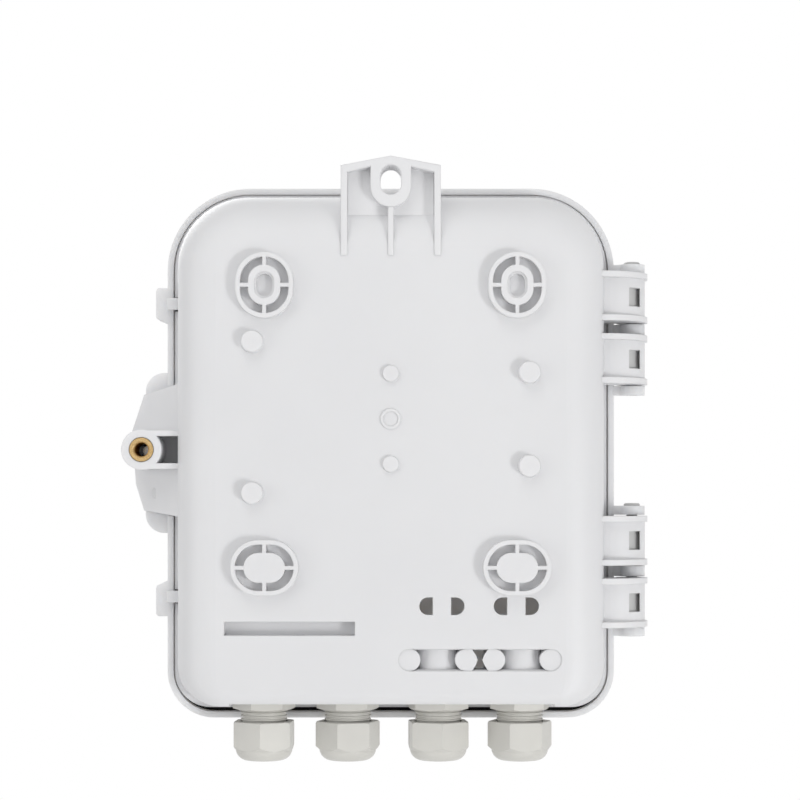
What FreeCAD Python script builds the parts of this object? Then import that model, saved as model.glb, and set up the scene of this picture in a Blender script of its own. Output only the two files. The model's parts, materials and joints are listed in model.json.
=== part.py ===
import FreeCAD, Part
import math
import os

# Wall-mounted fibre distribution box with a hinged cover, four cable glands,
# a splice tray and a row of adapters.
# Units are millimetres. +Z is up, +Y points at the wall and -Y at the user.
# The origin is the centre of the hanging hole, in the plane of the flat back.

V = FreeCAD.Vector

# How far a cut runs past its face, and a joined piece into what carries it
overcut = 1.0
lap = 1.0

# Slack in telling one edge from another
touch = 0.01
edge_slack = 0.1

# Cover
cover_width = 200.0
cover_height = 237.0
cover_wall = 2.6
cover_top_radius = 37.0
cover_low_radius = 21.0
cover_depth = 35.8
cover_draft = 1.4
cover_step = 5.5
cover_edge_round = 10.0
cover_panel_rise = 1.2
panel_round = 1.0
band_round = 2.0
cover_panel_border = 15.0
seam_gap = 0.55
seam_gap_top = 0.3
seam_gap_low = 2.0
skirt_lap = 5.0

# Base tub
base_depth = 38.0
base_wall = 2.5
base_draft = 3.0
base_draft_low = 0.7
lip_reach = 1.2
lip_reach_low = 2.1
lip_low_radius = 16.0
lip_thickness = 4.0
back_round_top = 25.0
back_round_side = 18.0
back_round_low = 6.0
back_corner_top = 31.0
back_corner_low = 20.0

# Gasket on the ledge inside the cover
gasket_width = 5.2
gasket_height = 2.7
gasket_gap = 0.3
gasket_side_gap = 0.15

# Hanging tab
hole_below_cover_top = 0.5
hole_width = 10.0
hole_height = 13.1
hole_boss_wall = 3.6
hole_boss_low_wall = 5.1
tab_width = 43.5
tab_peak = 10.4
tab_shoulder = 6.3
tab_corner = 2.0
tab_depth = 17.0
tab_floor = 2.5
tab_rim = 2.9
tab_rib = 2.5
tab_foot = 32.8

# Mounting pads on the back
pad_height = 5.0
pad_pitch_x = 109.4
pad_top_drop = 46.0
pad_low_rise = 68.2
pad_top_width = 25.0
pad_top_length = 28.5
pad_low_width = 24.0
pad_low_length = 29.5
pad_ring_wall = 2.0
pad_web = 1.7
pad_top_boss_width = 14.0
pad_top_boss_length = 17.5
pad_low_boss_width = 13.0
pad_low_boss_length = 18.0
pad_slot_width = 8.4
pad_slot_length = 11.4
pad_slot_step = 0.8
pad_slot_step_depth = 1.2
pad_slot_depth = 4.4

# Round studs on the back: the upper ones lie below the hanging hole,
# the lower ones above the tray's edge
stud_radius = 4.6
stud_height = 4.5
stud_draft = 0.4
stud_x = 60.1
stud_drop_plus = 70.3
stud_rise_plus = 5.0
stud_drop_minus = 83.7
stud_rise_minus = 16.7
mark_radius = 3.5
mark_height = 1.6
mark_drops = (84.1, 123.4)
gate_radius = 4.5
gate_height = 0.8
gate_dimple = 0.6
gate_drop = 103.8
gate_recess = 3.2

# Long recess and cable-tie holes
recess_start = 15.6
recess_end = 72.4
recess_height = 6.1
recess_rise = 41.6
recess_depth = 7.0
rib_share = 0.8
tie_pair_x = (-22.2, -54.5)
tie_rise = 51.4
tie_span = 19.6
tie_bridge = 8.0
tie_height = 7.6

# Cable saddles
saddle_rise = 28.0
saddle_height = 9.6
saddle_x = (-20.4, -57.2)
saddle_screw_pitch = 24.6
column_radius = 4.8
column_drop = 0.7
column_reach = 13.0
saddle_radius = 9.0
saddle_crest = 3.2
saddle_end_lap = 0.4
saddle_waist = 0.9
saddle_mouth = 3.4

# Cable glands, whose places are shares of the cover's width
gland_shares = (0.28, 0.095, -0.105, -0.285)
gland_turns = (8.4, 9.0, 42.3, 16.8)
nut_turns = (25.2, 12.3, 36.2, 9.2)
gland_thread_radius = 10.0
gland_hole_clearance = 0.25
gland_flats = 24.0
gland_flange = 4.0
gland_flange_chamfer = 1.1
gland_recess = 1.9
gland_recess_margin = 0.4
gland_bore_radius = 6.9
gland_shank = 11.0
gland_neck = 16.3
neck_radius = 9.6
thread_ridge = 0.6
thread_pitch = 1.5
thread_count = 3
gasket_ring_radius = 13.0
gasket_ring = 1.5
locknut_flats = 26.0
locknut_thickness = 5.0
nut_gap = 4.7
nut_flats = 25.0
nut_hex = 12.6
nut_dome = 4.6
nut_dome_bulge = 0.32
nut_chamfer = 0.7
nut_clearance = 0.3
thread_clearance = 0.1
nut_mouth_radius = 7.0
nut_crown = 1.8
seal_radius = 8.0
seal_clearance = 0.1
seal_length = 9.5
seal_hole_radius = 4.5

# Hinges
hinge_offset = 8.0
hinge_pin_radius = 2.4
hinge_pin_clearance = 0.06
hinge_ear_clearance = 0.25
hinge_drop = 62.9
hinge_rise = 65.8
bracket_length = 21.8
bracket_spacing = 5.7
bracket_flange = 2.6
bracket_swell = 22.1
bracket_clearance = 0.6
barrel_radius = 6.9
web_swell = 17.0
web_set_back = 1.1
web_thickness = 2.6
window_width = 5.3
window_height = 8.2
ear_radius = 5.8
ear_gap = 0.5
ear_end = 4.0
pin_head_radius = 3.6
pin_head_length = 1.2
pin_head_chamfer = 0.5

# Side catches on the free edge of the cover
catch_drop = 52.3
catch_rise = 53.7
catch_reach = 5.2
catch_length = 16.6
catch_slant = 3.0
catch_depth = 11.0
catch_round = 1.6
nose_drop = 51.3
nose_rise = 54.3
nose_width = 5.2
nose_reach = 6.5
nose_thickness = 3.0
pocket_clearance = 0.9
pocket_height = 14.5
pocket_back = 14.0
notch_clearance = 0.5

# Lock
lock_offset = 9.8
lock_boss_radius = 8.9
lock_rib = 2.5
lock_rib_span = 17.0
lock_boss_length = 24.0
wing_root = 17.0
wing_hollow = 0.34
wing_edge = 5.0
wing_seam = 0.4
wing_wall = 2.4
cover_wing_depth = 24.0
insert_radius = 4.4
insert_flange_radius = 5.5
insert_flange = 1.4
insert_length = 20.0
insert_bore_radius = 3.05
lock_screw_radius = 2.75
lock_hole_radius = 3.4
lock_recess_radius = 6.2
lock_tube_radius = 8.2
lock_screw_head_radius = 5.4
lock_screw_head = 6.0
lock_screw_travel = 10.0
lock_screw_chamfer = 0.7
lock_key_flats = 5.0
lock_key_depth = 4.0
lock_seal_radius = 5.2
lock_seal_thickness = 1.5
lock_floor = 3.5
lock_floor_drop = 2.0
lock_screw_spare = 0.4
insert_lead = 0.6
wing_top = 35.1
wing_low = 37.1
wing_shoulder = 10.4
wing_corner = 8.6
wing_seam_root = 30.0
wing_seam_top = 24.9
wing_seam_low = 26.9
wing_waist_top = (6.0, 8.9)
wing_waist_low = (4.4, -15.0)
wing_mark_radius = 2.9
wing_mark_out = 4.0
wing_mark_below = 19.2
wing_mark_rise = 8.4

# Splice tray and its screws
tray_width = 142.0
tray_top_drop = 37.0
tray_adapter_gap = 5.2
tray_corner = 14.0
tray_floor = 1.8
tray_wall = 1.6
tray_depth = 9.0
tray_standoff = 12.5
standoff_radius = 3.6
screw_radius = 1.5
screw_head_radius = 2.9
screw_head = 1.9
screw_head_chamfer = 0.7
screw_cross_width = 0.75
screw_grip = 8.0
screw_hole_clearance = 0.2
screw_bore_clearance = 0.05
hub_radius = 17.0
hub_wall = 1.6
hub_spread = 36.0
tray_gate_in = 22.4
tray_gate_width = 14.0
lid_notch_radius = 7.0
lid_thickness = 1.4
lid_gap = 0.1
sleeve_count = 12
sleeve_pitch = 4.0
sleeve_length = 40.0
sleeve_groove = 1.35
sleeve_mouth = 1.9
sleeve_sink = 0.95
holder_height = 6.0
holder_margin = 3.0

# Adapters
adapter_count = 8
adapter_pitch = 15.0
adapter_width = 12.8
adapter_height = 9.2
adapter_length = 25.0
adapter_flange = 1.6
adapter_flange_reach = 0.7
adapter_plate_rise = 78.0
adapter_clearance = 0.15
bracket_plate = 2.0
bracket_rib = 1.6
bracket_height = 17.5
bracket_foot = 12.0
bracket_foot_thickness = 2.0
bracket_side = 11.0
bracket_standoff = 4.0
ferrule_radius = 2.4
adapter_cavity_width = 10.6
adapter_cavity_height = 6.6
adapter_key = 2.3
cap_length = 7.0
cap_wall = 0.9
cap_clearance = 0.1

# Cable clamps
clamp_length = 32.5
clamp_height = 9.0
clamp_thickness = 2.5
clamp_arch = 6.5

mid_x = 0.0
back_y = 0.0
skirt_y = back_y - base_depth + skirt_lap
front_y = skirt_y - cover_depth
lip_y = back_y - base_depth
cover_top_z = hole_below_cover_top
cover_low_z = cover_top_z - cover_height
lip_half = cover_width / 2 - cover_wall - seam_gap
lip_top_z = cover_top_z - cover_wall - seam_gap_top
lip_low_z = cover_low_z + cover_wall + seam_gap_low
floor_y = back_y - base_wall
lock_x = cover_width / 2 + lock_offset
hinge_x = -cover_width / 2 - hinge_offset
hinge_y = skirt_y
gland_x = tuple(cover_width * share for share in gland_shares)
gland_y = (back_y + lip_y) / 2
seat_z = lip_low_z + lip_reach_low + gland_recess
inner_seat_z = seat_z + base_wall
ledge_y = skirt_y - skirt_lap - gasket_gap - gasket_height
lock_back_y = lip_y + lock_boss_length
hinge_drops = (hinge_drop, -cover_low_z - hinge_rise)
catch_drops = (catch_drop, -cover_low_z - catch_rise)
nose_drops = (nose_drop, -cover_low_z - nose_rise)
lock_z = -sum(hinge_drops) / 2
pad_low_drop = -cover_low_z - pad_low_rise
recess_drop = -cover_low_z - recess_rise
tie_drop = -cover_low_z - tie_rise
saddle_drop = -cover_low_z - saddle_rise
adapter_plate_drop = -cover_low_z - adapter_plate_rise
adapter_reach = (adapter_length - adapter_flange - bracket_plate) / 2
adapter_top_z = -adapter_plate_drop + adapter_flange + adapter_reach
adapter_low_z = adapter_top_z - adapter_length
tray_low_drop = -adapter_top_z - tray_adapter_gap
tray_height = tray_low_drop - tray_top_drop
stud_drops_plus = (stud_drop_plus, tray_low_drop - stud_rise_plus)
stud_drops_minus = (stud_drop_minus, tray_low_drop - stud_rise_minus)
wing_y = lip_y - wing_seam
wing_front_y = wing_y - cover_wing_depth


def outline(half, low, high, low_radius, high_radius, y):
    """Closed rectangle with rounded corners, in a plane of constant y."""
    corners = (
        (half - low_radius, low + low_radius, low_radius, 270),
        (half - high_radius, high - high_radius, high_radius, 0),
        (high_radius - half, high - high_radius, high_radius, 90),
        (low_radius - half, low + low_radius, low_radius, 180),
    )
    arcs = []
    for x, z, radius, start in corners:
        points = []
        for turn in (0, 45, 90):
            angle = math.radians(start + turn)
            points.append(V(x + radius * math.cos(angle), y, z + radius * math.sin(angle)))
        arcs.append(points)
    edges = []
    for index, points in enumerate(arcs):
        edges.append(Part.Arc(*points).toShape())
        following = arcs[(index + 1) % 4]
        edges.append(Part.LineSegment(points[2], following[0]).toShape())
    return Part.Wire(edges)


def slab(half, low, high, low_radius, high_radius, y_start, y_end):
    """Rounded rectangle carried along y."""
    face = Part.Face(outline(half, low, high, low_radius, high_radius, y_start))
    return face.extrude(V(0, y_end - y_start, 0))


def tapered(front, back):
    """Solid from a front outline to one behind it, with four flat sides."""
    faces = [Part.Face(front), Part.Face(back)]
    for near_edge, far_edge in zip(front.OrderedEdges, back.OrderedEdges):
        if near_edge.Curve.TypeId == "Part::GeomLine":
            start, end = [vertex.Point for vertex in near_edge.Vertexes]
            far_start, far_end = [vertex.Point for vertex in far_edge.Vertexes]
            faces.append(Part.Face(Part.makePolygon([start, end, far_end, far_start, start])))
        else:
            faces.append(Part.makeRuledSurface(near_edge, far_edge))
    shell = Part.makeShell(faces)
    shell.sewShape()
    return Part.makeSolid(shell)


def box(x0, x1, y0, y1, z0, z1):
    """Block between two corners, given in any order."""
    low = V(min(x0, x1), min(y0, y1), min(z0, z1))
    return Part.makeBox(abs(x1 - x0), abs(y1 - y0), abs(z1 - z0), low)


def rod(radius, start, end):
    """Cylinder between two points."""
    path = end - start
    return Part.makeCylinder(radius, path.Length, start, path)


def tube(outer, inner, start, end):
    """Round sleeve between two points."""
    return rod(outer, start, end).cut(rod(inner, start, end))


def prism(points, direction):
    """Straight-sided outline carried along a direction."""
    return Part.Face(Part.makePolygon(points + [points[0]])).extrude(direction)


def slot(x, z, width, length, y_start, y_end, upright=True):
    """Round-ended bar along y, standing or lying."""
    half = (length - width) / 2
    radius = width / 2
    if upright:
        ends = (V(x, y_start, z - half), V(x, y_start, z + half))
        middle = box(x - radius, x + radius, y_start, y_end, z - half, z + half)
    else:
        ends = (V(x - half, y_start, z), V(x + half, y_start, z))
        middle = box(x - half, x + half, y_start, y_end, z - radius, z + radius)
    run = V(0, y_end - y_start, 0)
    return middle.fuse([rod(radius, end, end + run) for end in ends])


def hexagon(flats, centre, direction, length, turn):
    """Six-sided bar along z, turned about its own axis."""
    reach = flats / math.sqrt(3)
    points = []
    for side in range(6):
        angle = math.radians(60 * side + turn)
        points.append(centre + V(reach * math.cos(angle), reach * math.sin(angle), 0))
    return prism(points, direction * length)


def one_solid(shape):
    """The single solid of a result, with split faces joined."""
    solids = shape.removeSplitter().Solids
    if len(solids) != 1:
        raise RuntimeError("expected one solid, found %d" % len(solids))
    return solids[0]


def save(name, shape):
    """Write one node, and say what it holds."""
    if not shape.isValid():
        raise RuntimeError(name + " is not valid")
    shape.exportStep("parts/" + name + ".step")
    print(name, len(shape.Solids), "solid(s)", round(shape.Volume / 1000, 2), "cm3")


def round_back(form, back_z_top, back_z_low, rounds, y):
    """Round the rear edges: large at the top, middling at the sides, small below."""
    top_round, side_round, low_round = rounds

    def radius_at(point):
        if point.z > back_z_top - edge_slack:
            return top_round
        if point.z < back_z_low + edge_slack:
            return low_round
        return side_round

    rules = []
    for number, edge in enumerate(form.Edges, 1):
        if edge.BoundBox.YMin > y - touch:
            ends = edge.Vertexes
            rules.append((number, radius_at(ends[0].Point), radius_at(ends[-1].Point)))
    work = FreeCAD.newDocument("rounding")
    source = work.addObject("Part::Feature", "form")
    source.Shape = form
    fillet = work.addObject("Part::Fillet", "fillet")
    fillet.Base = source
    fillet.Edges = rules
    work.recompute()
    rounded = fillet.Shape.copy()
    FreeCAD.closeDocument(work.Name)
    return rounded


def tub_form(inset, y_front, y_back):
    """Tapered tub with its rounded back, moved inwards by a wall."""
    half = lip_half - lip_reach - inset
    low = lip_low_z + lip_reach_low + inset
    top = lip_top_z - lip_reach - inset
    corner_low = lip_low_radius - lip_reach - inset
    corner_top = cover_top_radius - cover_wall - seam_gap - lip_reach - inset
    share = (y_back - y_front) / base_depth
    back_half = half - base_draft * share
    back_low = low + base_draft_low * share
    back_top = top - base_draft * share
    front = outline(half, low, top, corner_low, corner_top, y_front)
    back = outline(back_half, back_low, back_top, back_corner_low - inset, back_corner_top - inset,
                   y_back)
    form = tapered(front, back)
    rounds = (back_round_top - inset, back_round_side - inset, back_round_low - inset)
    return round_back(form, back_top, back_low, rounds, y_back)


def hanging_tab():
    """Roof-shaped tab with a rim, two long legs, a middle rib and the hole's boss."""
    half = tab_width / 2
    roof = [
        V(-half, back_y, -tab_foot),
        V(-half, back_y, tab_shoulder),
        V(0, back_y, tab_peak),
        V(half, back_y, tab_shoulder),
        V(half, back_y, -tab_foot),
    ]
    body = prism(roof, V(0, -tab_depth, 0))
    corners = []
    for edge in body.Edges:
        middle = edge.CenterOfMass
        if edge.Length > tab_depth - edge_slack and abs(middle.z - tab_shoulder) < edge_slack:
            corners.append(edge)
    body = body.makeFillet(tab_corner, corners)
    inner_half = half - tab_rim
    inner_shoulder = tab_shoulder - tab_rim
    inner_peak = tab_peak - tab_rim
    hollow = [
        V(-inner_half, back_y, -tab_foot - overcut),
        V(-inner_half, back_y, inner_shoulder),
        V(0, back_y, inner_peak),
        V(inner_half, back_y, inner_shoulder),
        V(inner_half, back_y, -tab_foot - overcut),
    ]
    body = body.cut(prism(hollow, V(0, tab_floor - tab_depth, 0)))
    boss_width = hole_width + 2 * hole_boss_wall
    boss_low = -hole_height / 2 - hole_boss_low_wall
    boss_round = boss_width / 2
    boss = rod(boss_round, V(0, back_y, boss_low + boss_round),
               V(0, back_y - tab_depth, boss_low + boss_round))
    boss = boss.fuse(box(-boss_round, boss_round, back_y, back_y - tab_depth, boss_low + boss_round,
                         inner_shoulder))
    rib = box(-tab_rib / 2, tab_rib / 2, back_y, back_y - tab_depth, -tab_foot, boss_low + lap)
    return body.fuse([boss, rib])


def pad(x, z, width, length, boss_width, boss_length, upright):
    """Oval ring, inner boss and four webs of one mounting pad."""
    top = back_y + pad_height
    under = back_y - lap
    shape = slot(x, z, width, length, under, top, upright)
    inner_width = width - 2 * pad_ring_wall
    inner_length = length - 2 * pad_ring_wall
    shape = shape.cut(slot(x, z, inner_width, inner_length, back_y, top, upright))
    shape = shape.fuse(slot(x, z, boss_width, boss_length, under, top, upright))
    reach_x = (width if upright else length) / 2 - pad_ring_wall / 2
    reach_z = (length if upright else width) / 2 - pad_ring_wall / 2
    half_web = pad_web / 2
    webs = [
        box(x - reach_x, x + reach_x, under, top, z - half_web, z + half_web),
        box(x - half_web, x + half_web, under, top, z - reach_z, z + reach_z),
    ]
    return shape.fuse(webs)


def pad_slot(x, z):
    """Blind stepped slot in an upper pad."""
    top = back_y + pad_height
    wide = slot(x, z, pad_slot_width, pad_slot_length, top, top - pad_slot_step_depth)
    narrow_width = pad_slot_width - 2 * pad_slot_step
    narrow_length = pad_slot_length - 2 * pad_slot_step
    deep = slot(x, z, narrow_width, narrow_length, top, top - pad_slot_depth)
    return wide.fuse(deep)


def tie_hole(x, side):
    """Half-round hole beside the bridge that a cable tie goes round."""
    z = -tie_drop
    flat = x + side * tie_bridge / 2
    round_x = x + side * (tie_span - tie_height) / 2
    y_out = back_y + overcut
    y_in = floor_y - overcut
    half = tie_height / 2
    hole = rod(half, V(round_x, y_out, z), V(round_x, y_in, z))
    hole = hole.fuse(box(flat, round_x, y_out, y_in, z - half, z + half))
    keep = box(flat, flat + side * tie_span, y_out, y_in, z - half, z + half)
    return hole.common(keep)


def saddle_columns():
    """Places of the four screw columns beside the two cable saddles."""
    half = saddle_screw_pitch / 2
    return [x + side * half for x in saddle_x for side in (1, -1)]


def saddle_window():
    """Cut through the back from the first column to the last."""
    columns = saddle_columns()
    start = max(columns)
    end = min(columns)
    middle = (start + end) / 2
    length = start - end + saddle_height
    return slot(middle, -saddle_drop, saddle_height, length, back_y + overcut, floor_y - overcut, False)


def saddle_wedges():
    """Wedges on the two middle columns, which leave a waisted slot between them."""
    inner = sorted(saddle_columns())[1:3]
    middle = sum(inner) / 2
    half = saddle_height / 2
    z = -saddle_drop
    y = back_y - column_drop
    wedges = []
    for x in inner:
        side = 1 if x > middle else -1
        points = [
            V(x, y, z + half),
            V(middle + side * saddle_mouth, y, z + half),
            V(middle + side * saddle_waist, y, z),
            V(middle + side * saddle_mouth, y, z - half),
            V(x, y, z - half),
        ]
        wedges.append(prism(points, V(0, -base_wall, 0)))
    return wedges


def saddle_block():
    """Screw columns and the two arched saddles that close the cut between them."""
    z = -saddle_drop
    pieces = saddle_wedges()
    half = saddle_height / 2
    y_column = back_y - column_drop
    for x in saddle_columns():
        pieces.append(rod(column_radius, V(x, y_column, z), V(x, y_column - column_reach, z)))
    wall = base_wall
    for x in saddle_x:
        reach = saddle_screw_pitch / 2
        axis_y = back_y - saddle_crest - saddle_radius
        drum = rod(saddle_radius, V(x, axis_y, z - half), V(x, axis_y, z + half))
        hollow = rod(saddle_radius - wall, V(x, axis_y, z - half), V(x, axis_y, z + half))
        block = box(x - reach, x + reach, axis_y, back_y, z - half, z + half)
        pieces.append(drum.cut(hollow).common(block))
        for side in (-1, 1):
            inner = x + side * (saddle_radius - wall)
            outer = x + side * reach
            pieces.append(box(inner, outer, axis_y, axis_y + wall, z - half, z + half))
    ends = []
    for side in (-1, 1):
        low = z + side * (half - saddle_end_lap)
        ends.append(box(min(saddle_columns()), max(saddle_columns()), floor_y + lap,
                        back_y - saddle_crest - saddle_radius, low, low + side * wall))
    return pieces, ends


def flat_chain(edges, z, thickness):
    """Plate in the xy plane from a closed chain of edges, carried along z."""
    face = Part.Face(Part.Wire(edges))
    face.translate(V(0, 0, z))
    return face.extrude(V(0, 0, thickness))


def line(start, end):
    """Straight edge."""
    return Part.LineSegment(start, end).toShape()


def quarter(centre, radius):
    """Quarter of a circle from the point above its centre to the point left of it."""
    angle = math.radians(135)
    bend = centre + V(radius * math.cos(angle), radius * math.sin(angle), 0)
    return Part.Arc(centre + V(0, radius, 0), bend, centre - V(radius, 0, 0)).toShape()


def bracket_flange_plate(z):
    """One flange of a hinge bracket, from the side wall over the skirt to the pin."""
    tip_x = hinge_x - barrel_radius
    centre = V(tip_x + bracket_swell, hinge_y, 0)
    root_x = -lip_half + lip_reach + base_draft + base_wall + lap
    clear_y = hinge_y + bracket_clearance
    under = V(hinge_x, hinge_y - barrel_radius, 0)
    tip = V(tip_x, hinge_y, 0)
    inner = V(hinge_x + barrel_radius, hinge_y, 0)
    raised = V(hinge_x + barrel_radius, clear_y, 0)
    root_low = V(root_x, clear_y, 0)
    root_high = V(root_x, hinge_y + bracket_swell, 0)
    edges = [
        quarter(centre, bracket_swell),
        Part.Arc(tip, under, inner).toShape(),
        line(inner, raised),
        line(raised, root_low),
        line(root_low, root_high),
        line(root_high, centre + V(0, bracket_swell, 0)),
    ]
    return flat_chain(edges, z, bracket_flange)


def bracket_web(z, length):
    """Curved web between two flanges, with the window that shows the pin."""
    tip_x = hinge_x - barrel_radius + web_set_back
    centre = V(tip_x + web_swell, hinge_y, 0)
    root_x = -lip_half + lip_reach + base_draft + base_wall + lap
    inner_swell = web_swell - web_thickness
    root_high = V(root_x, hinge_y + web_swell, 0)
    root_low = V(root_x, hinge_y + inner_swell, 0)
    tip = V(tip_x, hinge_y, 0)
    tip_in = V(tip_x + web_thickness, hinge_y, 0)
    edges = [
        quarter(centre, web_swell),
        line(tip, tip_in),
        quarter(centre, inner_swell),
        line(centre + V(0, inner_swell, 0), root_low),
        line(root_low, root_high),
        line(root_high, centre + V(0, web_swell, 0)),
    ]
    web = flat_chain(edges, z, length)
    half = window_width / 2
    middle = z + length / 2
    window = box(hinge_x - half, hinge_x + half, hinge_y + hinge_pin_radius, back_y,
                 middle - window_height / 2, middle + window_height / 2)
    return web.cut(window)


def bracket_tops(drop):
    """Upper ends of the two brackets of one hinge."""
    half = bracket_spacing / 2
    return (-drop + half + bracket_length, -drop - half)


def hinge_brackets():
    """All flanges and webs, with the bores for the pins."""
    pieces = []
    for drop in hinge_drops:
        for top in bracket_tops(drop):
            low = top - bracket_length
            pieces.append(bracket_flange_plate(low))
            pieces.append(bracket_flange_plate(top - bracket_flange))
            pieces.append(bracket_web(low, bracket_length))
    return pieces


def hinge_bores(radius):
    """Round cuts along both hinge axes."""
    cuts = []
    for drop in hinge_drops:
        reach = bracket_spacing + 2 * bracket_length
        cuts.append(rod(radius, V(hinge_x, hinge_y, -drop - reach), V(hinge_x, hinge_y, -drop + reach)))
    return cuts


def wing_face(points, y):
    """Plan of a wing as a flat face with the lock boss joined on."""
    face = Part.Face(Part.makePolygon(points + [points[0]]))
    disc = Part.Face(Part.Wire(Part.makeCircle(lock_boss_radius, V(lock_x, 0, lock_z), V(0, 1, 0))))
    joined = face.fuse(disc).removeSplitter().Faces[0]
    joined.translate(V(0, y, 0))
    return joined


def base_wing_points():
    """Plan of the base's wing, between its two seams."""
    root = lip_half - lip_reach - base_draft - lap
    half = cover_width / 2
    return [
        V(root, 0, lock_z + wing_seam_root),
        V(half + wing_shoulder, 0, lock_z + wing_seam_top),
        V(lock_x + wing_waist_top[0], 0, lock_z + wing_waist_top[1]),
        V(lock_x + wing_waist_low[0], 0, lock_z + wing_waist_low[1]),
        V(half + wing_shoulder, 0, lock_z - wing_seam_low),
        V(root, 0, lock_z - wing_seam_root),
    ]


def cover_wing_points():
    """Plan of the cover's wing, which reaches past the seams."""
    half = cover_width / 2
    root = half - cover_step - 2 * lap
    return [
        V(root, 0, lock_z + wing_top),
        V(half + wing_shoulder, 0, lock_z + wing_top),
        V(half + wing_shoulder, 0, lock_z + wing_seam_top),
        V(lock_x + wing_waist_top[0], 0, lock_z + wing_waist_top[1]),
        V(lock_x + wing_waist_low[0], 0, lock_z + wing_waist_low[1]),
        V(half + wing_shoulder, 0, lock_z - wing_seam_low),
        V(half + wing_shoulder, 0, lock_z - wing_low),
        V(root, 0, lock_z - wing_low),
    ]


def lock_wing():
    """Base's wing: a hollow-curved flare, two ribs and the boss for the insert."""
    plan = wing_face(base_wing_points(), lip_y)
    plate = plan.extrude(V(0, lip_y * -1, 0))
    wall_x = lip_half - lip_reach - base_draft
    edge_x = lock_x + lock_boss_radius + overcut
    edge_y = lip_y + wing_edge
    root_y = back_y - wing_root
    sag = V(wall_x + (edge_x - wall_x) * wing_hollow, edge_y + (root_y - edge_y) * wing_hollow, 0)
    start = V(wall_x, root_y, 0)
    end = V(edge_x, edge_y, 0)
    inside = V(wall_x - base_wall - lap, root_y, 0)
    edges = [
        Part.Arc(start, sag, end).toShape(),
        line(end, V(edge_x, lip_y, 0)),
        line(V(edge_x, lip_y, 0), V(inside.x, lip_y, 0)),
        line(V(inside.x, lip_y, 0), inside),
        line(inside, start),
    ]
    span = 2 * wing_seam_root
    flare = flat_chain(edges, lock_z - wing_seam_root, span)
    flare = flare.common(plate)
    boss = rod(lock_boss_radius, V(lock_x, lip_y, lock_z), V(lock_x, lock_back_y, lock_z))
    pieces = [flare, boss]
    for side in (-1, 1):
        outer = lock_z + side * lock_rib_span / 2
        inner = outer - side * lock_rib
        pieces.append(box(wall_x - base_wall, lock_x, lip_y, lock_back_y, outer, inner))
    mark_x = cover_width / 2 + wing_mark_out
    mark_z = lock_z - wing_mark_below
    pieces.append(rod(wing_mark_radius, V(mark_x, lip_y, mark_z),
                      V(mark_x, lip_y + wing_mark_rise, mark_z)))
    return pieces


def lock_pocket():
    """Space between the two ribs, open at the back."""
    wall_x = cover_width / 2 - cover_wall - seam_gap - lip_reach - base_draft
    half = lock_rib_span / 2 - lock_rib
    pocket = box(wall_x, lock_x, back_y, lip_y + base_wall, lock_z - half, lock_z + half)
    boss = rod(lock_boss_radius, V(lock_x, lip_y, lock_z), V(lock_x, back_y, lock_z))
    return pocket.cut([boss, tub_form(0, lip_y, back_y)])


def catch_pocket(drop):
    """Pocket in the side wall that the catch nose reaches into."""
    deep_x = cover_width / 2 - nose_reach - pocket_clearance
    half = pocket_height / 2
    return box(deep_x, cover_width / 2, back_y - pocket_back, lip_y + lip_thickness, -drop - half,
               -drop + half)


def catch_notch(drop):
    """Cut in the lip that lets the nose pass as the cover swings."""
    deep_x = cover_width / 2 - nose_reach - pocket_clearance
    half = nose_width / 2 + notch_clearance
    return box(deep_x, cover_width / 2, lip_y - overcut, lip_y + lip_thickness + overcut,
               -drop - half, -drop + half)


def standoffs():
    """Screw posts on the inner floor: x, z, height."""
    posts = []
    for drop in stud_drops_plus:
        posts.append((stud_x, -drop, tray_standoff))
    for drop in stud_drops_minus:
        posts.append((-stud_x, -drop, tray_standoff))
    foot = adapter_foot_x()
    for side in (-1, 1):
        posts.append((side * foot, -adapter_plate_drop - bracket_foot / 2, bracket_standoff))
    return posts


def adapter_foot_x():
    """Distance of the adapter bracket's two screws from the middle."""
    return adapter_count * adapter_pitch / 2 + bracket_side / 2


def gland_shelf(wall, y_start, y_end, low_z, high_z):
    """Block along the row of glands, for their recess and the wall behind it."""
    reach = gland_flats / math.sqrt(3) + gland_recess_margin + wall
    return box(min(gland_x) - reach, max(gland_x) + reach, y_start, y_end, low_z, high_z)


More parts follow.
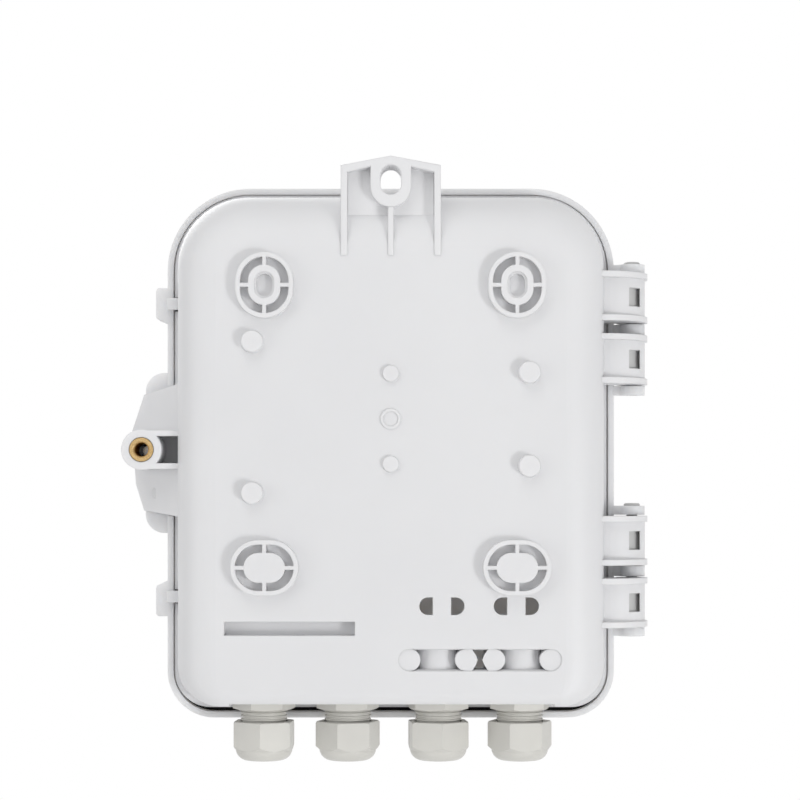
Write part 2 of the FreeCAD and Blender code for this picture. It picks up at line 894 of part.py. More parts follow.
def base_shell():
    """Rear tub with everything that is moulded on it."""
    tub = tub_form(0, lip_y, back_y)
    lip = slab(lip_half, lip_low_z, lip_top_z, lip_low_radius,
               cover_top_radius - cover_wall - seam_gap, lip_y, lip_y + lip_thickness)
    outside = [lip, hanging_tab()]
    outside += hinge_brackets()
    outside += lock_wing()
    half_pitch = pad_pitch_x / 2
    for x in (-half_pitch, half_pitch):
        outside.append(pad(x, -pad_top_drop, pad_top_width, pad_top_length,
                           pad_top_boss_width, pad_top_boss_length, True))
        outside.append(pad(x, -pad_low_drop, pad_low_width, pad_low_length,
                           pad_low_boss_width, pad_low_boss_length, False))
    studs = [(stud_x, drop) for drop in stud_drops_plus]
    studs += [(-stud_x, drop) for drop in stud_drops_minus]
    for x, drop in studs:
        outside.append(Part.makeCone(stud_radius + stud_draft, stud_radius, stud_height + lap,
                                     V(x, back_y - lap, -drop), V(0, 1, 0)))
    for drop in mark_drops:
        outside.append(rod(mark_radius, V(mid_x, back_y - lap, -drop),
                           V(mid_x, back_y + mark_height, -drop)))
    outside.append(rod(gate_radius, V(mid_x, back_y - lap, -gate_drop),
                       V(mid_x, back_y + gate_height, -gate_drop)))
    shell = tub.fuse(outside)

    cavity = tub_form(base_wall, lip_y - overcut, floor_y)
    shell = shell.cut(cavity)

    inside = []
    for x, z, height in standoffs():
        inside.append(rod(standoff_radius, V(x, back_y - lap, z), V(x, floor_y - height, z)))
    rib_wall = base_wall * rib_share
    inside.append(box(recess_start - rib_wall, recess_end + rib_wall, back_y - lap,
                      back_y - recess_depth - rib_wall,
                      -recess_drop - recess_height / 2 - rib_wall,
                      -recess_drop + recess_height / 2 + rib_wall))
    inside.append(gland_shelf(base_wall, lip_y, back_y, lip_low_z, inner_seat_z).common(tub))
    for drop in nose_drops:
        deep_x = cover_width / 2 - nose_reach - pocket_clearance
        half = pocket_height / 2 + base_wall
        block = box(deep_x - base_wall, lip_half, back_y, lip_y, -drop - half, -drop + half)
        inside.append(block.common(tub))
    shell = shell.fuse(inside)

    behind_lip = lip_y + lip_thickness
    recess = gland_shelf(0, behind_lip, back_y + overcut, lip_low_z - overcut, seat_z)
    cuts = [recess, saddle_window(), lock_pocket()]
    for x in (-half_pitch, half_pitch):
        cuts.append(pad_slot(x, -pad_top_drop))
    for drop in nose_drops:
        cuts.append(catch_pocket(drop))
        cuts.append(catch_notch(drop))
    for x in tie_pair_x:
        for side in (-1, 1):
            cuts.append(tie_hole(x, side))
    cuts.append(box(recess_start, recess_end, back_y + overcut, back_y - recess_depth,
                    -recess_drop - recess_height / 2, -recess_drop + recess_height / 2))
    cuts.append(rod(gate_recess, V(mid_x, back_y + gate_height - gate_dimple, -gate_drop),
                    V(mid_x, back_y + pad_height, -gate_drop)))
    cuts.append(slot(mid_x, 0, hole_width, hole_height, back_y + overcut, back_y - tab_depth - overcut))
    hole = gland_thread_radius + gland_hole_clearance
    for x in gland_x:
        cuts.append(rod(hole, V(x, gland_y, seat_z - overcut), V(x, gland_y, inner_seat_z + overcut)))
    for x, z, height in standoffs():
        cuts.append(rod(screw_radius + screw_bore_clearance, V(x, floor_y - height, z), V(x, floor_y, z)))
    cuts += hinge_bores(hinge_pin_radius + hinge_pin_clearance)
    insert_end = lock_back_y - insert_length
    cuts.append(rod(insert_radius, V(lock_x, lock_back_y, lock_z), V(lock_x, insert_end, lock_z)))
    cuts.append(rod(insert_flange_radius, V(lock_x, lock_back_y, lock_z),
                    V(lock_x, lock_back_y - insert_flange, lock_z)))
    cuts.append(rod(lock_hole_radius, V(lock_x, insert_end, lock_z), V(lock_x, lip_y - overcut, lock_z)))
    shell = shell.cut(cuts)

    pieces, ends = saddle_block()
    shell = shell.fuse(pieces + ends)
    screw_bores = []
    for x in saddle_columns():
        end = back_y - column_drop - column_reach
        screw_bores.append(rod(screw_radius + screw_bore_clearance, V(x, end, -saddle_drop),
                               V(x, end + screw_grip + overcut, -saddle_drop)))
    return one_solid(shell.cut(screw_bores))


def cover_form(inset, y_start):
    """Tapered body of the cover in front of its band, moved inwards by a wall."""
    half = cover_width / 2 - cover_step - inset
    low = cover_low_z + cover_step + inset
    top = cover_top_z - cover_step - inset
    low_radius = cover_low_radius - cover_step - inset
    top_radius = cover_top_radius - cover_step - inset
    end_y = front_y + inset
    start = outline(half, low, top, low_radius, top_radius, y_start)
    end = outline(half - cover_draft, low + cover_draft, top - cover_draft,
                  low_radius - cover_draft, top_radius - cover_draft, end_y)
    form = tapered(end, start)
    edges = [edge for edge in form.Edges if edge.BoundBox.YMax < end_y + touch]
    return form.makeFillet(cover_edge_round - inset, edges)


def catch_block(drop, side):
    """Block on the rim with its nose; the inner end of the block is slanted."""
    face_x = cover_width / 2
    out_x = face_x + catch_reach
    middle = -drop
    far = middle + side * catch_length / 2
    near = middle - side * catch_length / 2
    points = [
        V(face_x - cover_wall / 2, skirt_y, far),
        V(out_x, skirt_y, far),
        V(out_x, skirt_y, near + side * catch_slant),
        V(face_x - cover_wall / 2, skirt_y, near),
    ]
    block = prism(points, V(0, -catch_depth, 0))
    rounded = []
    for edge in block.Edges:
        box_of_edge = edge.BoundBox
        if box_of_edge.XMin > out_x - touch and box_of_edge.YLength > catch_depth - edge_slack:
            rounded.append(edge)
    return block.makeFillet(catch_round, rounded)


def catch_nose(drop):
    """Nose that reaches from the rim over the lip of the base."""
    half = nose_width / 2
    tip_x = cover_width / 2 - nose_reach
    return box(tip_x, cover_width / 2, skirt_y, skirt_y + nose_thickness, -drop - half, -drop + half)


def hinge_ear(z, thickness):
    """Ear from the band of the cover to the hinge pin."""
    face_x = -cover_width / 2 + cover_wall / 2
    points = [
        V(hinge_x, hinge_y + ear_radius, z),
        V(face_x, hinge_y - ear_gap, z),
        V(face_x, hinge_y - ear_radius, z),
        V(hinge_x, hinge_y - ear_radius, z),
    ]
    ear = prism(points, V(0, 0, thickness))
    ear = ear.fuse(rod(ear_radius, V(hinge_x, hinge_y, z), V(hinge_x, hinge_y, z + thickness)))
    radius = hinge_pin_radius + hinge_ear_clearance
    bore = rod(radius, V(hinge_x, hinge_y, z - overcut), V(hinge_x, hinge_y, z + thickness + overcut))
    return ear.cut(bore)


def hinge_ears():
    """Three ears for each hinge: above, between and below its two brackets."""
    ears = []
    for drop in hinge_drops:
        half = bracket_spacing / 2
        ears.append(hinge_ear(-drop - half + ear_gap, bracket_spacing - 2 * ear_gap))
        outer = half + bracket_length + ear_gap
        ears.append(hinge_ear(-drop + outer, ear_end))
        ears.append(hinge_ear(-drop - outer - ear_end, ear_end))
    return ears


def cover_wing():
    """Hollow wing under the base's wing, with the tube for the lock screw."""
    plan = wing_face(cover_wing_points(), wing_y)
    wing = plan.extrude(V(0, wing_front_y - wing_y, 0))
    out_x = cover_width / 2 + wing_shoulder
    corners = []
    for edge in wing.Edges:
        middle = edge.CenterOfMass
        tall = edge.BoundBox.YLength > wing_y - wing_front_y - edge_slack
        at_top = abs(middle.z - lock_z - wing_top) < edge_slack
        at_foot = abs(middle.z - lock_z + wing_low) < edge_slack
        if tall and (at_top or at_foot) and abs(middle.x - out_x) < edge_slack:
            corners.append(edge)
    wing = wing.makeFillet(wing_corner, corners)
    front = [edge for edge in wing.Edges if edge.BoundBox.YMax < wing_front_y + touch]
    outer = [edge for edge in front if edge.CenterOfMass.x > cover_width / 2 - cover_step]
    wing = wing.makeChamfer(wing_wall / 2, outer)
    plan = wing_face(base_wing_points(), wing_y)
    room = grown(plan, wing_seam).extrude(V(0, skirt_y - wing_y + overcut, 0))
    hollow = grown(plan, -wing_wall).extrude(V(0, wing_front_y - wing_y + wing_wall, 0))
    inside_x = cover_width / 2 - cover_step
    hollow = hollow.cut(box(0, inside_x, wing_y + overcut, wing_front_y - overcut, cover_low_z,
                            cover_top_z))
    tube_rod = rod(lock_tube_radius, V(lock_x, wing_y, lock_z), V(lock_x, wing_front_y, lock_z))
    return wing, room, hollow.cut(tube_rod)


def grown(face, reach):
    """Flat face moved outwards by a reach, or inwards when it is negative."""
    return face.makeOffset2D(reach, 1)


def lock_bore():
    """Stepped hole for the lock screw: wide for its head, narrow for its shank."""
    floor_back = wing_y - lock_floor_drop
    floor_front = floor_back - lock_floor
    narrow = rod(lock_hole_radius, V(lock_x, skirt_y, lock_z), V(lock_x, wing_front_y, lock_z))
    wide = rod(lock_recess_radius, V(lock_x, floor_front, lock_z),
               V(lock_x, wing_front_y - overcut, lock_z))
    return narrow.fuse(wide)


def door_cover():
    """Front cover: band round the base, stepped body, hinge ears, catches and lock wing."""
    half = cover_width / 2
    band_y = ledge_y - cover_wall
    band = slab(half, cover_low_z, cover_top_z, cover_low_radius, cover_top_radius, skirt_y, band_y)
    edges = [edge for edge in band.Edges if edge.BoundBox.YMax < band_y + touch]
    band = band.makeFillet(band_round, edges)
    cover = band.fuse(cover_form(0, ledge_y - cover_wall / 2))
    border = cover_step + cover_panel_border
    panel = slab(half - border, cover_low_z + border, cover_top_z - border,
                 cover_low_radius - cover_panel_border / 2,
                 cover_top_radius - cover_panel_border / 2 - cover_step,
                 front_y + lap, front_y - cover_panel_rise)
    edges = [edge for edge in panel.Edges if edge.BoundBox.YMax < front_y - cover_panel_rise + touch]
    panel = panel.makeFillet(panel_round, edges)
    wing, room, hollow = cover_wing()
    cover = cover.fuse([panel, wing])
    cuts = [
        slab(half - cover_wall, cover_low_z + cover_wall, cover_top_z - cover_wall,
             cover_low_radius - cover_wall, cover_top_radius - cover_wall, skirt_y + overcut, ledge_y),
        cover_form(cover_wall, ledge_y + overcut),
        room,
        hollow,
        lock_bore(),
    ]
    cover = cover.cut(cuts)
    extras = hinge_ears()
    for number, drop in enumerate(catch_drops):
        extras.append(catch_block(drop, 1 - 2 * number))
    for drop in nose_drops:
        extras.append(catch_nose(drop))
    cover = cover.fuse(extras)
    inner = slab(half - cover_wall, cover_low_z + cover_wall, cover_top_z - cover_wall,
                 cover_low_radius - cover_wall, cover_top_radius - cover_wall, skirt_y, ledge_y)
    return one_solid(cover.cut(inner))


def door_gasket():
    """Foam ring on the ledge of the cover, pressed by the lip of the base."""
    inset = cover_wall + gasket_side_gap
    inner = inset + gasket_width
    end_y = ledge_y + gasket_height
    half = cover_width / 2
    ring = slab(half - inset, cover_low_z + inset, cover_top_z - inset,
                cover_low_radius - inset, cover_top_radius - inset, ledge_y, end_y)
    hole = slab(half - inner, cover_low_z + inner, cover_top_z - inner,
                cover_low_radius - inner, cover_top_radius - inner, ledge_y - overcut, end_y + overcut)
    return one_solid(ring.cut(hole))


def hinge_pin(drop):
    """Headed pin through two brackets and three ears."""
    reach = bracket_spacing / 2 + bracket_length + ear_gap + ear_end
    top = V(hinge_x, hinge_y, -drop + reach)
    pin = rod(hinge_pin_radius, V(hinge_x, hinge_y, -drop - reach), top)
    head = rod(pin_head_radius, top, top + V(0, 0, pin_head_length))
    edges = [edge for edge in head.Edges if edge.BoundBox.ZMin > top.z + touch]
    return one_solid(pin.fuse(head.makeChamfer(pin_head_chamfer, edges)))


def lock_insert():
    """Flanged brass insert pressed into the base's boss."""
    end = V(lock_x, lock_back_y - insert_length, lock_z)
    back = V(lock_x, lock_back_y, lock_z)
    body = rod(insert_radius, back, end)
    flange = rod(insert_flange_radius, back, back - V(0, insert_flange, 0))
    bore = rod(insert_bore_radius, back + V(0, overcut, 0), end - V(0, overcut, 0))
    insert = body.fuse(flange).cut(bore)
    mouth = Part.makeCone(insert_bore_radius + insert_lead, insert_bore_radius, insert_lead, back,
                          V(0, -1, 0))
    return one_solid(insert.cut(mouth))


def lock_screw():
    """Captive screw in the cover, drawn back so that the cover can swing."""
    floor_front = wing_y - lock_floor_drop - lock_floor
    under = floor_front - lock_seal_thickness - lock_screw_travel - lock_screw_spare
    tip = V(lock_x, wing_y - lock_screw_spare, lock_z)
    seat = V(lock_x, under, lock_z)
    shank = rod(lock_screw_radius, tip, seat)
    edges = [edge for edge in shank.Edges if edge.BoundBox.YMin > tip.y - touch]
    shank = shank.makeChamfer(lock_screw_chamfer, edges)
    front = seat - V(0, lock_screw_head, 0)
    head = rod(lock_screw_head_radius, seat, front)
    edges = [edge for edge in head.Edges if edge.BoundBox.YMax < front.y + touch]
    head = head.makeChamfer(lock_screw_chamfer, edges)
    reach = lock_key_flats / math.sqrt(3)
    points = []
    for side in range(6):
        angle = math.radians(60 * side)
        points.append(front + V(reach * math.cos(angle), 0, reach * math.sin(angle)))
    key = prism(points, V(0, lock_key_depth, 0))
    return one_solid(shank.fuse(head).cut(key))


def lock_seal():
    """Rubber ring at the bottom of the screw's recess."""
    front = wing_y - lock_floor_drop - lock_floor
    inner = lock_screw_radius + gasket_side_gap
    return tube(lock_seal_radius, inner, V(lock_x, front, lock_z),
                V(lock_x, front - lock_seal_thickness, lock_z))


def gland_axis(x, z):
    """Point on the axis of one gland."""
    return V(x, gland_y, z)


def gland_body(x, turn):
    """Threaded body: shank through the wall, hexagon, and neck for the nut."""
    top = gland_axis(x, seat_z + gland_shank)
    seat = gland_axis(x, seat_z)
    under = gland_axis(x, seat_z - gland_flange)
    low = gland_axis(x, seat_z - gland_flange - gland_neck)
    side = gland_flange - gland_flange_chamfer
    side_low = gland_axis(x, seat_z - side)
    down = V(0, 0, -1)
    cone = Part.makeCone(gland_flats / math.sqrt(3), neck_radius + thread_ridge,
                         gland_flange_chamfer, side_low, down)
    body = rod(gland_thread_radius, top, seat).fuse([
        hexagon(gland_flats, seat, down, side, turn),
        hexagon(gland_flats, side_low, down, gland_flange_chamfer, turn).common(cone),
        rod(neck_radius, under, low),
    ])
    ridges = []
    for number in range(thread_count):
        z = under.z - thread_pitch * (number + 0.5)
        half = thread_pitch / 6
        crest = neck_radius + thread_ridge
        root = neck_radius - thread_ridge
        profile = Part.makePolygon([
            V(root, 0, z - 2 * half),
            V(crest, 0, z - half),
            V(crest, 0, z + half),
            V(root, 0, z + 2 * half),
            V(root, 0, z - 2 * half),
        ])
        ring = Part.Face(profile).revolve(V(0, 0, 0), V(0, 0, 1), 360)
        ring.translate(V(x, gland_y, 0))
        ridges.append(ring)
    body = body.fuse(ridges)
    bore = rod(gland_bore_radius, top + V(0, 0, overcut), low - V(0, 0, overcut))
    socket = rod(seal_radius + seal_clearance, low + V(0, 0, seal_length - nut_crown),
                 low - V(0, 0, overcut))
    return one_solid(body.cut([bore, socket]))


def gland_seal(x):
    """Rubber sleeve that grips the cable."""
    low = gland_axis(x, seat_z - gland_flange - gland_neck - nut_crown)
    seal = tube(seal_radius, seal_hole_radius, low, low + V(0, 0, seal_length))
    return one_solid(seal)


def gland_nut(x, turn):
    """Domed hexagon nut over the neck."""
    top_z = seat_z - gland_flange - nut_gap
    hex_low = top_z - nut_hex
    low = hex_low - nut_dome
    reach = nut_flats / math.sqrt(3)
    rim = reach - nut_chamfer
    shoulder = nut_flats / 2 - touch
    crown = nut_mouth_radius + nut_crown / 2
    dome_in = nut_dome * nut_dome_bulge
    profile = [
        line(V(0, 0, top_z), V(rim, 0, top_z)),
        line(V(rim, 0, top_z), V(reach, 0, top_z - nut_chamfer)),
        line(V(reach, 0, top_z - nut_chamfer), V(reach, 0, hex_low + nut_crown)),
        line(V(reach, 0, hex_low + nut_crown), V(shoulder, 0, hex_low)),
        Part.Arc(V(shoulder, 0, hex_low), V(shoulder - dome_in, 0, low + dome_in),
                 V(crown, 0, low)).toShape(),
        line(V(crown, 0, low), V(0, 0, low)),
        line(V(0, 0, low), V(0, 0, top_z)),
    ]
    turned = Part.Face(Part.Wire(profile)).revolve(V(0, 0, 0), V(0, 0, 1), 360)
    turned.translate(V(x, gland_y, 0))
    bar = hexagon(nut_flats, gland_axis(x, top_z), V(0, 0, -1), nut_hex + nut_dome, turn)
    nut = turned.common(bar)
    wide = neck_radius + thread_ridge + nut_clearance
    neck_low = seat_z - gland_flange - gland_neck
    clear = neck_low - nut_clearance
    bore = rod(wide, gland_axis(x, top_z + overcut), gland_axis(x, clear))
    room_low = neck_low - nut_crown - nut_clearance
    seal_room = rod(seal_radius + nut_clearance, gland_axis(x, clear + overcut), gland_axis(x, room_low))
    mouth = rod(nut_mouth_radius, gland_axis(x, clear + overcut), gland_axis(x, low - overcut))
    return one_solid(nut.cut([bore, seal_room, mouth]))


def gland_washer(x):
    """Rubber washer under the locknut."""
    low = gland_axis(x, inner_seat_z)
    inner = gland_thread_radius + thread_clearance
    return tube(gasket_ring_radius, inner, low, low + V(0, 0, gasket_ring))


def gland_locknut(x):
    """Hexagon locknut inside the box."""
    low = gland_axis(x, inner_seat_z + gasket_ring)
    nut = hexagon(locknut_flats, low, V(0, 0, 1), locknut_thickness, 0)
    past = V(0, 0, overcut)
    hole = rod(gland_thread_radius + thread_clearance, low - past,
               low + V(0, 0, locknut_thickness) + past)
    return nut.cut(hole)


def pan_screw(x, z, seat_y, grip):
    """Small cross-head screw driven towards the wall."""
    seat = V(x, seat_y, z)
    shank = rod(screw_radius, seat, seat + V(0, grip, 0))
    head = rod(screw_head_radius, seat, seat - V(0, screw_head, 0))
    edges = [edge for edge in head.Edges if edge.BoundBox.YMax < seat_y - screw_head + touch]
    head = head.makeChamfer(screw_head_chamfer, edges)
    half = screw_cross_width / 2
    deep = screw_head / 2
    cross = [
        box(x - screw_radius, x + screw_radius, seat_y - screw_head, seat_y - deep, z - half, z + half),
        box(x - half, x + half, seat_y - screw_head, seat_y - deep, z - screw_radius, z + screw_radius),
    ]
    return shank.fuse(head).cut(cross)


def tray_outline(inset, y_start, y_end):
    """Rounded block of the splice tray's plan."""
    half = tray_width / 2 - inset
    low = -tray_low_drop + inset
    top = -tray_low_drop + tray_height - inset
    return slab(half, low, top, tray_corner - inset, tray_corner - inset, y_start, y_end)


def tray_y():
    """Back of the splice tray, on its standoffs."""
    return floor_y - tray_standoff


def tray_screw_places():
    """The four standoffs under the tray."""
    return [(x, z) for x, z, height in standoffs() if height == tray_standoff]


def hub_places():
    """Centres of the two fibre hubs in the tray."""
    holder_top = holder_low_z() + sleeve_length / 2
    z = (holder_top - tray_top_drop - tray_wall) / 2
    return [(-hub_spread, z), (hub_spread, z)]


def splice_tray():
    """Tray with a rim, two round fibre hubs, fibre doors and screw seats."""
    back = tray_y()
    rim = back - tray_depth
    tray = tray_outline(0, back, rim).cut(tray_outline(tray_wall, back - tray_floor, rim - overcut))
    pieces = []
    for x, z in hub_places():
        pieces.append(tube(hub_radius, hub_radius - hub_wall, V(x, back - tray_floor / 2, z),
                           V(x, rim + lid_gap, z)))
    for x, z in tray_screw_places():
        pieces.append(rod(screw_head_radius + tray_wall, V(x, back, z), V(x, back - tray_floor * 2, z)))
    tray = tray.fuse(pieces)
    cuts = []
    low = -tray_low_drop
    half_gate = tray_gate_width / 2
    for x in (tray_gate_in - tray_width / 2, tray_width / 2 - tray_gate_in):
        cuts.append(box(x - half_gate, x + half_gate, back - tray_floor, rim - overcut,
                        low - overcut, low + tray_wall + overcut))
    for x, z in tray_screw_places():
        cuts.append(rod(screw_radius + screw_hole_clearance, V(x, back + overcut, z), V(x, rim, z)))
        cuts.append(rod(screw_head_radius + screw_hole_clearance, V(x, back - tray_floor, z),
                        V(x, rim, z)))
    return one_solid(tray.cut(cuts))


def tray_lid():
    """Clear lid lying on the tray's rim, with a finger notch."""
    rim = tray_y() - tray_depth
    lid = tray_outline(0, rim, rim - lid_thickness)
    top = -tray_low_drop + tray_height
    notch = rod(lid_notch_radius, V(mid_x, rim + overcut, top),
                V(mid_x, rim - lid_thickness - overcut, top))
    return one_solid(lid.cut(notch))


def holder_low_z():
    """Lower end of the sleeve holder, above the tray's rim."""
    return -tray_low_drop + tray_wall + holder_margin


def sleeve_holder():
    """Rubber comb that holds the splice sleeves."""
    back = tray_y() - tray_floor
    half = sleeve_count * sleeve_pitch / 2 + holder_margin / 2
    low = holder_low_z()
    length = sleeve_length / 2
    comb = box(-half, half, back, back - holder_height, low, low + length)
    grooves = []
    for number in range(sleeve_count):
        x = (number - (sleeve_count - 1) / 2) * sleeve_pitch
        y = back - holder_height + sleeve_sink
        grooves.append(rod(sleeve_groove, V(x, y, low - overcut), V(x, y, low + length + overcut)))
        grooves.append(box(x - sleeve_mouth / 2, x + sleeve_mouth / 2, y, back - holder_height - overcut,
                           low - overcut, low + length + overcut))
    return one_solid(comb.cut(grooves))


def adapter_y():
    """Depth of the adapters' axes."""
    return floor_y - bracket_standoff - bracket_foot_thickness - bracket_height / 2


def adapter_x(number):
    """Place of one adapter along the bracket."""
    return (number - (adapter_count - 1) / 2) * adapter_pitch


def adapter_bracket():
    """Moulded angle with a window for each adapter and two screw feet."""
    seat_y = floor_y - bracket_standoff
    half = adapter_foot_x() + bracket_side / 2
    top = -adapter_plate_drop
    low = top - bracket_plate
    plate_half = adapter_count * adapter_pitch / 2
    foot = box(-half, half, seat_y, seat_y - bracket_foot_thickness, top - bracket_foot, top)
    rib_thickness = bracket_rib
    end = plate_half + rib_thickness
    plate = box(-end, end, seat_y, seat_y - bracket_foot_thickness - bracket_height, low, top)
    pieces = [plate]
    for side in (-1, 1):
        x = side * plate_half
        rib = [
            V(x, seat_y - bracket_foot_thickness, low),
            V(x, seat_y - bracket_foot_thickness - bracket_height, low),
            V(x, seat_y - bracket_foot_thickness, top - bracket_foot),
        ]
        pieces.append(prism(rib, V(side * rib_thickness, 0, 0)))
    bracket = foot.fuse(pieces)
    cuts = []
    width = adapter_width / 2 + adapter_clearance
    height = adapter_height / 2 + adapter_clearance
    middle = adapter_y()
    for number in range(adapter_count):
        x = adapter_x(number)
        cuts.append(box(x - width, x + width, middle - height, middle + height, low - overcut,
                        top + overcut))
    for side in (-1, 1):
        x = side * adapter_foot_x()
        z = top - bracket_foot / 2
        cuts.append(rod(screw_radius + screw_hole_clearance, V(x, seat_y + overcut, z),
                        V(x, seat_y - bracket_foot, z)))
    return one_solid(bracket.cut(cuts))


def adapter(number):
    """Fibre adapter: square sleeve with a flange, a key slot and a ceramic sleeve inside."""
    x = adapter_x(number)
    middle = adapter_y()
    top = adapter_top_z
    low = adapter_low_z
    half_w = adapter_width / 2
    half_h = adapter_height / 2
    body = box(x - half_w, x + half_w, middle - half_h, middle + half_h, low, top)
    flange_z = -adapter_plate_drop
    reach = adapter_flange_reach
    flange = box(x - half_w - reach, x + half_w + reach, middle - half_h - reach, middle + half_h + reach,
                 flange_z, flange_z + adapter_flange)
    body = body.fuse(flange)
    cavity_w = adapter_cavity_width / 2
    cavity_h = adapter_cavity_height / 2
    half_length = (adapter_length - bracket_plate) / 2
    key = adapter_key / 2
    cuts = []
    for start, end in ((low - overcut, low + half_length), (top - half_length, top + overcut)):
        cuts.append(box(x - cavity_w, x + cavity_w, middle - cavity_h, middle + cavity_h, start, end))
    cuts.append(box(x - key, x + key, middle - half_h - overcut, middle, low - overcut,
                    low + half_length / 2))
    body = body.cut(cuts)
    sleeve = tube(ferrule_radius, ferrule_radius - cap_wall, V(x, middle, low + half_length / 2),
                  V(x, middle, top - half_length / 2))
    return one_solid(body.fuse(sleeve).cut(rod(ferrule_radius - cap_wall, V(x, middle, low),
                                               V(x, middle, top))))


def adapter_cap(number):
    """Soft dust cap plugged into the lower end of an adapter."""
    x = adapter_x(number)
    middle = adapter_y()
    low = adapter_low_z
    half_w = adapter_cavity_width / 2 - cap_clearance
    half_h = adapter_cavity_height / 2 - cap_clearance
    key = adapter_key / 2 - cap_clearance
    plug_top = low + (adapter_length - bracket_plate) / 4 - cap_clearance
    cap = box(x - half_w, x + half_w, middle - half_h, middle + half_h, low - cap_length, plug_top)
    rim = box(x - adapter_width / 2, x + adapter_width / 2,
              middle - adapter_height / 2, middle + adapter_height / 2,
              low - cap_wall, low)
    hollow_w = half_w - cap_wall
    hollow_h = half_h - cap_wall
    hollow = box(x - hollow_w, x + hollow_w, middle - hollow_h, middle + hollow_h, low,
                 plug_top + overcut)
    rib = box(x - key, x + key, middle - adapter_height / 2, middle, low - cap_length, low - cap_wall / 2)
    return one_solid(cap.fuse([rim, rib]).cut(hollow))


def cable_clamp(x):
    """Arched bar that presses a cable into its saddle."""
    seat = back_y - column_drop - column_reach
    half = clamp_length / 2
    half_z = clamp_height / 2
    z = -saddle_drop
    bar = box(x - half, x + half, seat, seat - clamp_thickness, z - half_z, z + half_z)
    arch = rod(clamp_arch + clamp_thickness, V(x, seat, z - half_z), V(x, seat, z + half_z))
    keep = box(x - half, x + half, seat, seat - 2 * clamp_arch - clamp_thickness, z - half_z, z + half_z)
    bar = bar.fuse(arch.common(keep))
    cuts = [rod(clamp_arch, V(x, seat, z - half_z - overcut), V(x, seat, z + half_z + overcut))]
    for side in (-1, 1):
        screw_x = x + side * saddle_screw_pitch / 2
        cuts.append(rod(screw_radius + screw_hole_clearance, V(screw_x, seat + overcut, z),
                        V(screw_x, seat - clamp_arch, z)))
    return one_solid(bar.cut(cuts))


def group(shapes):
    """Separate solids kept together in one node."""
    return Part.makeCompound([solid for shape in shapes for solid in shape.Solids])


os.makedirs("parts", exist_ok=True)
save("base_shell", base_shell())
save("door_cover", door_cover())
save("door_gasket", door_gasket())
save("hinge_pin_upper", hinge_pin(hinge_drops[0]))
save("hinge_pin_lower", hinge_pin(hinge_drops[1]))
save("lock_insert", lock_insert())
save("lock_screw", lock_screw())
save("lock_seal", lock_seal())
for index, gland_place in enumerate(gland_x):
    label = str(index + 1)
    save("gland_body_" + label, gland_body(gland_place, gland_turns[index]))
    save("gland_seal_" + label, gland_seal(gland_place))
    save("gland_nut_" + label, gland_nut(gland_place, nut_turns[index]))
save("gland_washers", group([gland_washer(x) for x in gland_x]))
save("gland_locknuts", group([gland_locknut(x) for x in gland_x]))
save("splice_tray", splice_tray())
save("tray_lid", tray_lid())
save("sleeve_holder", sleeve_holder())
seat_y = tray_y() - tray_floor
save("tray_screws", group([pan_screw(x, z, seat_y, screw_grip) for x, z in tray_screw_places()]))
save("adapter_bracket", adapter_bracket())
foot_y = floor_y - bracket_standoff - bracket_foot_thickness
foot_z = -adapter_plate_drop - bracket_foot / 2
foot_places = [-adapter_foot_x(), adapter_foot_x()]
foot_grip = bracket_standoff + bracket_foot_thickness - cap_clearance
save("bracket_screws", group([pan_screw(x, foot_z, foot_y, foot_grip) for x in foot_places]))
for index in range(adapter_count):
    label = str(index + 1)
    save("adapter_" + label, adapter(index))
    save("adapter_cap_" + label, adapter_cap(index))
for index, clamp_x in enumerate(saddle_x):
    save("cable_clamp_" + str(index + 1), cable_clamp(clamp_x))
clamp_y = back_y - column_drop - column_reach - clamp_thickness
save("clamp_screws", group([pan_screw(x, -saddle_drop, clamp_y, screw_grip) for x in saddle_columns()]))
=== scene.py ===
import json
import math
import bmesh
import bpy
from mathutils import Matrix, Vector


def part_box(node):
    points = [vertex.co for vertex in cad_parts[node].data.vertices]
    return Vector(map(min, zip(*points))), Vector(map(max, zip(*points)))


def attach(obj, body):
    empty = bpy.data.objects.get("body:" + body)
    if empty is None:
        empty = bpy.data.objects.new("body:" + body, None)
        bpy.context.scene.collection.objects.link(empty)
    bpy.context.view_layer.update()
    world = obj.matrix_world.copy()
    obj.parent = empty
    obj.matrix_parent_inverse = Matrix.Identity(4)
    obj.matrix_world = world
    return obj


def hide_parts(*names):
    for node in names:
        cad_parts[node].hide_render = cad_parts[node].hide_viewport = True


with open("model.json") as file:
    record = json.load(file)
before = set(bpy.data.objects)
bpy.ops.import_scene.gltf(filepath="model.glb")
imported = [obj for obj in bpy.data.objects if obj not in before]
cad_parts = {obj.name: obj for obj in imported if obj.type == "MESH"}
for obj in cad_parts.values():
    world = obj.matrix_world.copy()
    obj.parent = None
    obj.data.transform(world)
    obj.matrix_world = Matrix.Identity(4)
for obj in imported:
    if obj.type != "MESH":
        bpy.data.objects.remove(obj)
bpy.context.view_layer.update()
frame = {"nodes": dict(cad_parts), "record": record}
print("frame loaded:", len(frame["nodes"]), "CAD nodes")

noiseSpan = (0.3, 0.7)  # the values of a noise over which a pattern changes
white = (1, 1, 1, 1)


def newMaterial(name):
    material = bpy.data.materials.new(name)
    material.use_nodes = True
    nodes = material.node_tree.nodes
    return material, nodes, material.node_tree.links, nodes["Principled BSDF"]


def addNode(nodes, kind, **inputs):
    node = nodes.new(kind)
    for name, value in inputs.items():
        node.inputs[name.replace("_", " ")].default_value = value
    return node


def objectPlace(nodes, links, scale=(1, 1, 1)):
    coordinates = nodes.new("ShaderNodeTexCoord")
    mapping = addNode(nodes, "ShaderNodeMapping", Scale=scale)
    links.new(coordinates.outputs["Object"], mapping.inputs["Vector"])
    return mapping.outputs["Vector"]


